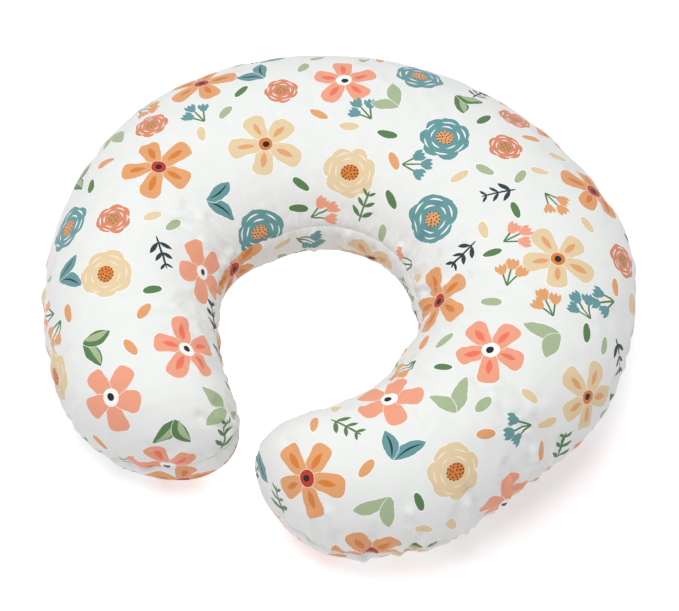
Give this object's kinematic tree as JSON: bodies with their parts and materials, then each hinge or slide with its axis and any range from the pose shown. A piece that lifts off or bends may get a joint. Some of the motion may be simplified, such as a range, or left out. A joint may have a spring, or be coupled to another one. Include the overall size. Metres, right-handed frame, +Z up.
{
  "type": "nursing pillow",
  "caption": "C-shaped stuffed pillow with a zipped fabric cover, a fibre-filled liner and two arms that flex open around a waist.",
  "frame": {"origin": "on the resting face, under the middle of the back", "axes": "+Z up, +Y towards the back of the pillow, -Y towards its mouth, +X towards the right arm seen from the mouth"},
  "size_m": [0.499, 0.454, 0.1337],
  "materials": {
    "cover_fabric": "woven cotton blend, off-white with a printed floral pattern",
    "liner_fabric": "plain unbleached weave",
    "fibre_fill": "loose polyester fibre",
    "zip_tape": "woven tape",
    "zip_teeth": "moulded nylon coil",
    "zip_metal": "satin",
    "thread": "twisted polyester thread",
    "label_fabric": "satin ribbon, blank"
  },
  "bodies": {
    "pillow_back": {"cover_top_panel": "cover_fabric", "cover_bottom_panel": "cover_fabric", "liner_top_panel": "liner_fabric", "liner_bottom_panel": "liner_fabric", "fill_back": "fibre_fill", "zip_tape_upper": "zip_tape", "zip_tape_lower": "zip_tape", "zip_coil_upper": "zip_teeth", "zip_coil_lower": "zip_teeth", "zip_top_stops": "zip_metal", "zip_bottom_stop": "zip_metal", "zip_end_tabs": "cover_fabric", "zip_topstitching": "thread", "care_label": "label_fabric", "liner_label": "label_fabric", "liner_closing_stitches": "thread"},
    "left_arm": {"fill_left_arm": "fibre_fill"},
    "right_arm": {"fill_right_arm": "fibre_fill"},
    "zip_slider": {"zip_slider": "zip_metal"},
    "zip_pull": {"zip_pull": "zip_metal"}
  },
  "joints": [
    {"name": "left_arm_flex", "type": "hinge", "parent": "pillow_back", "child": "left_arm", "pos_m": [-0.16027, -0.11898, 0.06], "axis": [0, 0, -1], "range_deg": [-1.5, 20], "deforming": ["cover_top_panel", "cover_bottom_panel", "liner_top_panel", "liner_bottom_panel"]},
    {"name": "right_arm_flex", "type": "hinge", "parent": "pillow_back", "child": "right_arm", "pos_m": [0.16027, -0.11898, 0.06], "axis": [0, 0, 1], "range_deg": [-1.5, 20], "deforming": ["cover_top_panel", "cover_bottom_panel", "liner_top_panel", "liner_bottom_panel"]},
    {"name": "zip_slide", "type": "hinge", "parent": "pillow_back", "child": "zip_slider", "pos_m": [0, -0.168, 0.06], "axis": [0, 0, -1], "range_deg": [0, 96]},
    {"name": "zip_pull_swing", "type": "hinge", "parent": "zip_slider", "child": "zip_pull", "pos_m": [-0.1975, 0.00854, 0.06], "axis": [0, 0, 1], "range_deg": [0, 170]}
  ]
}
